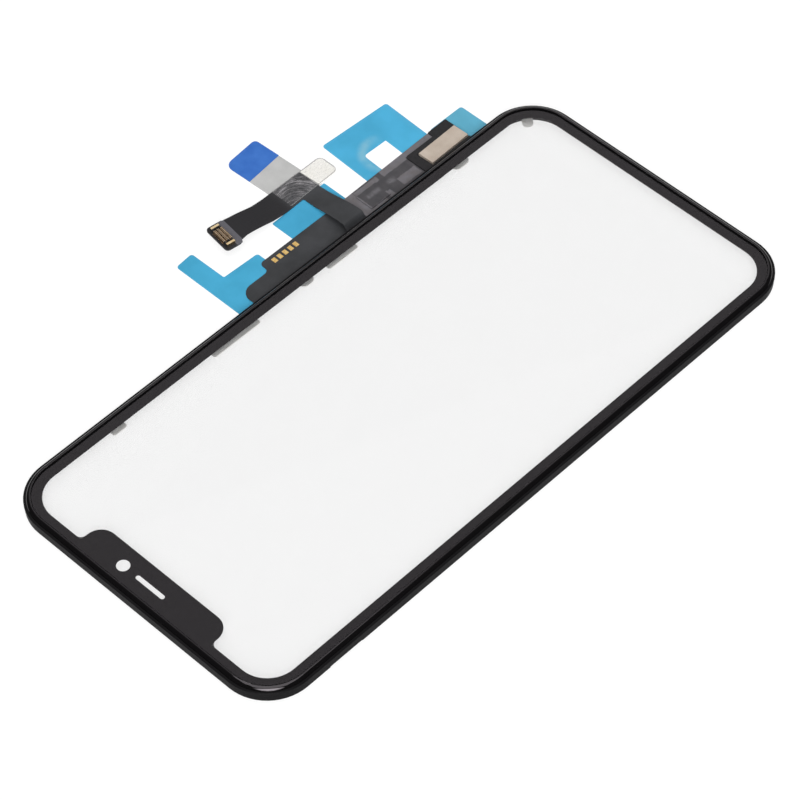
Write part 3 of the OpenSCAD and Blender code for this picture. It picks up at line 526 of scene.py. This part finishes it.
def makeLinerMaterial(name, look):
    g = Graph(name + "Film")
    cloud = g.noise(7, 3)
    grain = g.noise(0.25, 3)
    dark = tuple(value * linerShade["dark"] for value in look["colour"])
    light = tuple(min(1, value * linerShade["light"] + linerShade["lift"]) for value in look["colour"])
    colour = g.blend(g.ramp(cloud, 0.35, 0.65), dark, light)
    if look["box"]:
        wobble = g.spread(cloud, -linerCut["wobble"] * mm, linerCut["wobble"] * mm)
        inner = g.zone(look["box"], linerCut["soft"], linerCut["turn"], wobble)
        edge = g.math("SUBTRACT", 1.0, inner)
        colour = g.blend(g.math("MULTIPLY", edge, linerCut["share"]), colour, linerCut["colour"])
        away = g.add("ShaderNodeVectorMath", {0: g.place(), 1: pressMark["centre"]}, operation="DISTANCE")
        off = g.math("ABSOLUTE", g.math("SUBTRACT", away.outputs["Value"], pressMark["radius"] * mm))
        ring = g.ramp(off, 0.0, pressMark["width"] * mm, 1.0, 0.0, smooth=True)
        offset = g.add("ShaderNodeVectorMath", {0: g.place(), 1: pressMark["centre"]}, operation="SUBTRACT")
        inputs = {0: offset.outputs[0], 1: pressMark["side"]}
        aside = g.add("ShaderNodeVectorMath", inputs, operation="DOT_PRODUCT").outputs["Value"]
        oneSide = g.ramp(aside, pressMark["from"] * mm, pressMark["to"] * mm, smooth=True)
        ring = g.math("MULTIPLY", ring, oneSide)
        ring = g.math("MULTIPLY", ring, g.ramp(g.noise(2.5, 3), 0.35, 0.6, 0.4, 0.9))
        colour = g.blend(ring, colour, pressMark["colour"])
    return g.finish(g.principled(
        Base_Color=colour, Roughness=g.spread(grain, 0.34, 0.46), Specular_IOR_Level=0.15,
        Normal=g.bump(g.math("ADD", cloud, g.math("MULTIPLY", grain, 0.15)), 0.012)
    ))


for name, look in linerLooks.items():
    wear(makeLinerMaterial(name, look), name)
print("liners done")


# Clear corner tape, built as a creased sheet over the flex's corner and the paper tab
tapeSize = {
    "left": 48.55, "right": 53.95, "top": -17.25, "low": -30.6, "lowLeft": 48.9, "radius": 1.2,
    "seat": 0.301, "thick": 0.04, "crease": 0.09, "across": 60, "along": 150,
    "cut": 0.2, "held": 0.5, "fine": 0.3, "outline": 0.2,
}
# Creases lie side by side in an arc over the flex: place across the arc, width and strength
creases = [
    (0.0, 0.11, 1.0), (0.72, 0.1, 0.9), (0.38, 0.05, 0.35), (1.15, 0.06, 0.3), (-0.4, 0.06, 0.45),
    (-0.95, 0.08, 0.3), (-1.5, 0.06, 0.35), (-2.2, 0.09, 0.3), (-2.9, 0.07, 0.3),
]
creaseArc = {
    "top": (52.0, -22.2), "near": 0.2, "far": 0.06, "wander": 0.16, "end": -25.2, "fade": 0.8,
    "cover": 0.75, "contrast": 1.6, "fine": 0.8,
}
# Each noise on the tape: its pitch along and across the creases, and its layer
creaseNoises = {"wander": (0.5, 0.5, 0), "patch": (0.45, 5, 4), "fine": (0.5, 2.6, 9)}


def tapeRow(size, y):
    share = (size["top"] - y) / (size["top"] - size["low"])
    left = size["left"] + (size["lowLeft"] - size["left"]) * share
    right = size["right"]
    trim = size["cut"] * max(0, 1 - (size["top"] - y) / size["cut"])
    left += trim
    right -= trim
    into = size["radius"] - (y - size["low"])
    if into > 0:
        pull = size["radius"] - math.sqrt(max(0, size["radius"] ** 2 - into ** 2))
        left += pull
        right -= pull
    return left, right


def creaseNoise(kind, along, across):
    pitchAlong, pitchAcross, layer = creaseNoises[kind]
    return noise.noise(Vector((along * pitchAlong, across * pitchAcross, layer)))


def creaseHeight(x, y):
    topX, topY = creaseArc["top"]
    along = (x - topX + y - topY) * math.sqrt(0.5)
    across = (x - topX - y + topY) * math.sqrt(0.5)
    across += (creaseArc["near"] if along > 0 else creaseArc["far"]) * along ** 2
    across += creaseArc["wander"] * creaseNoise("wander", along, across)
    fade = min(1, max(0.0, (y - creaseArc["end"]) / creaseArc["fade"]))
    height = 0
    for place, width, strength in creases:
        patch = creaseArc["cover"] + creaseArc["contrast"] * creaseNoise("patch", along, place)
        patch = min(1, max(0, patch))
        height += strength * patch * math.exp(-((across - place) / width) ** 2)
    fine = max(0, creaseNoise("fine", along, across)) * creaseArc["fine"]
    return min(1, height) * fade, fine * fade


def makeCornerTape(size):
    mesh = bpy.data.meshes.new("cornerTapeSheet")
    shape = bmesh.new()
    hazeAndHighlight = shape.verts.layers.float.new("hazeAndHighlight")
    outline = shape.verts.layers.float.new("outline")
    layers = []
    for lift in (1, 0):
        rows = []
        for j in range(size["along"] + 1):
            y = size["top"] + (size["low"] - size["top"]) * j / size["along"]
            left, right = tapeRow(size, y)
            row = []
            for i in range(size["across"] + 1):
                x = left + (right - left) * i / size["across"]
                ridge, fine = creaseHeight(x, y)
                rim = min(x - left, right - x, y - size["low"])
                held = min(1, rim / size["held"], (size["top"] - y) / size["held"])
                raised = size["crease"] * (ridge + size["fine"] * fine) * held
                z = size["seat"] + raised + size["thick"] * lift
                point = shape.verts.new((x * mm, y * mm, z * mm))
                # How far each point is raised on a crease; the material paints raised creases as paler film,
                # partly real crease haze and partly painted highlight
                point[hazeAndHighlight] = min(1, ridge + fine)
                point[outline] = max(0, 1 - rim / size["outline"])
                row.append(point)
            rows.append(row)
        layers.append(rows)
    top, under = layers
    for j in range(size["along"]):
        for i in range(size["across"]):
            shape.faces.new((top[j][i], top[j + 1][i], top[j + 1][i + 1], top[j][i + 1]))
            shape.faces.new((under[j][i], under[j][i + 1], under[j + 1][i + 1], under[j + 1][i]))
    edge = [(0, i) for i in range(size["across"])]
    edge += [(j, size["across"]) for j in range(size["along"])]
    edge += [(size["along"], i) for i in range(size["across"], 0, -1)]
    edge += [(j, 0) for j in range(size["along"], 0, -1)]
    for (j, i), (nextJ, nextI) in zip(edge, edge[1:] + edge[:1]):
        shape.faces.new((top[j][i], top[nextJ][nextI], under[nextJ][nextI], under[j][i]))
    bmesh.ops.recalc_face_normals(shape, faces=shape.faces)
    for face in shape.faces:
        face.smooth = True
    shape.to_mesh(mesh)
    shape.free()
    piece = bpy.data.objects.new("cornerTape", mesh)
    bpy.context.scene.collection.objects.link(piece)
    return piece


# The tape's film is paler where creases rise: partly real haze, partly painted highlight along the creases
tapeFilm = {
    "dull": tone(160, 156, 160), "bright": tone(205, 202, 205), "edge": tone(142, 144, 142),
    "hazeAndHighlight": 0.4, "speck": (0.02, 0.08), "rim": 0.75, "rough": (0.16, 0.3), "tint": (0.97, 0.97, 0.97),
}


def makeTapeMaterial(look):
    g = Graph("creasedTape")
    hazeAndHighlight = g.add("ShaderNodeAttribute", attribute_name="hazeAndHighlight").outputs["Fac"]
    speck = g.noise(0.35, 4, (1, 0.5, 1), 0.7)
    edge = g.add("ShaderNodeAttribute", attribute_name="outline").outputs["Fac"]
    specks = g.ramp(speck, 0.4, 0.75, *look["speck"])
    # Painted highlight, partly real haze: more pale film on the raised creases
    share = g.math("ADD", g.math("MULTIPLY", hazeAndHighlight, look["hazeAndHighlight"]), specks)
    share = g.math("MAXIMUM", share, g.math("MULTIPLY", edge, look["rim"]))
    film = g.principled(
        Base_Color=g.blend(edge, g.blend(speck, look["dull"], look["bright"]), look["edge"]),
        Roughness=g.spread(speck, *look["rough"]), Normal=g.bump(speck, 0.01)
    )
    clear = g.add("ShaderNodeBsdfTransparent", {"Color": look["tint"]}).outputs[0]
    return g.finish(g.mixShaders(share, clear, film))


cornerTape = makeCornerTape(tapeSize)
wear(makeTapeMaterial(tapeFilm), cornerTape)
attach(cornerTape, "root")
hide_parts("corner_tape")
print("corner tape done")


# Floor, world and lamps
floorLook = {"half": 3.0, "albedo": (0.8, 0.8, 0.8), "shown": 0.7, "glow": 1.12, "level": -0.00001}


def makeFloor(look):
    mesh = bpy.data.meshes.new("paleFloor")
    half = look["half"]
    level = look["level"]
    corners = [(-half, -half, level), (half, -half, level), (half, half, level), (-half, half, level)]
    mesh.from_pydata(corners, [], [(0, 1, 2, 3)])
    floor = bpy.data.objects.new("paleFloor", mesh)
    bpy.context.scene.collection.objects.link(floor)
    g = Graph("paleFloor")
    rays = g.add("ShaderNodeLightPath").outputs
    reflected = g.math("MAXIMUM", rays["Is Glossy Ray"], rays["Is Transmission Ray"])
    seen = g.math("MAXIMUM", rays["Is Camera Ray"], reflected)
    matt = g.add("ShaderNodeBsdfDiffuse", {"Color": look["albedo"]}).outputs[0]
    white = g.add("ShaderNodeEmission", {"Color": (1, 1, 1), "Strength": look["glow"]}).outputs[0]
    g.finish(g.mixShaders(g.math("MULTIPLY", seen, look["shown"]), matt, white))
    floor.data.materials.append(g.material)


# The sky is dark but for one wide bright field behind the part and a low bright patch before its near corner
skyLook = {
    "dim": 0.05,
    "field": {"toward": (0.5, -0.5, 0.707), "from": 0.8, "to": 0.93, "bright": 0.72},
    "patch": {"toward": (-0.557, 0.557, 0.616), "from": 0.9, "to": 0.995, "bright": 9.0},
}


def makeWorld(look):
    world = bpy.data.worlds.new("studio")
    bpy.context.scene.world = world
    world.use_nodes = True
    g = Graph("studio", world.node_tree)
    way = g.add("ShaderNodeTexCoord").outputs["Generated"]
    glow = look["dim"]
    for name in ("field", "patch"):
        spot = look[name]
        facing = g.add("ShaderNodeVectorMath", {0: way, 1: spot["toward"]}, operation="DOT_PRODUCT")
        light = g.ramp(facing.outputs["Value"], spot["from"], spot["to"], 0.0, spot["bright"], smooth=True)
        glow = g.math("ADD", light, glow)
    soft = g.add("ShaderNodeBackground", {"Color": (1, 1, 1), "Strength": glow}).outputs[0]
    plain = g.add("ShaderNodeBackground", {"Color": (1, 1, 1), "Strength": 1.0}).outputs[0]
    camera = g.add("ShaderNodeLightPath").outputs["Is Camera Ray"]
    g.finish(g.mixShaders(camera, soft, plain), "ShaderNodeOutputWorld")


lamps = {
    "overheadSoftbox": {"place": (-0.08, 0.08, 1.3), "size": 1.0, "power": 7.3},
}


def makeLamp(name, look):
    data = bpy.data.lights.new(name, "AREA")
    data.size = look["size"]
    data.energy = look["power"]
    lamp = bpy.data.objects.new(name, data)
    bpy.context.scene.collection.objects.link(lamp)
    lamp.location = look["place"]
    lamp.rotation_mode = "QUATERNION"
    lamp.rotation_quaternion = (-Vector(look["place"])).to_track_quat("-Z", "Y")


makeFloor(floorLook)
makeWorld(skyLook)
for name, look in lamps.items():
    makeLamp(name, look)
print("floor, world and lamps done")
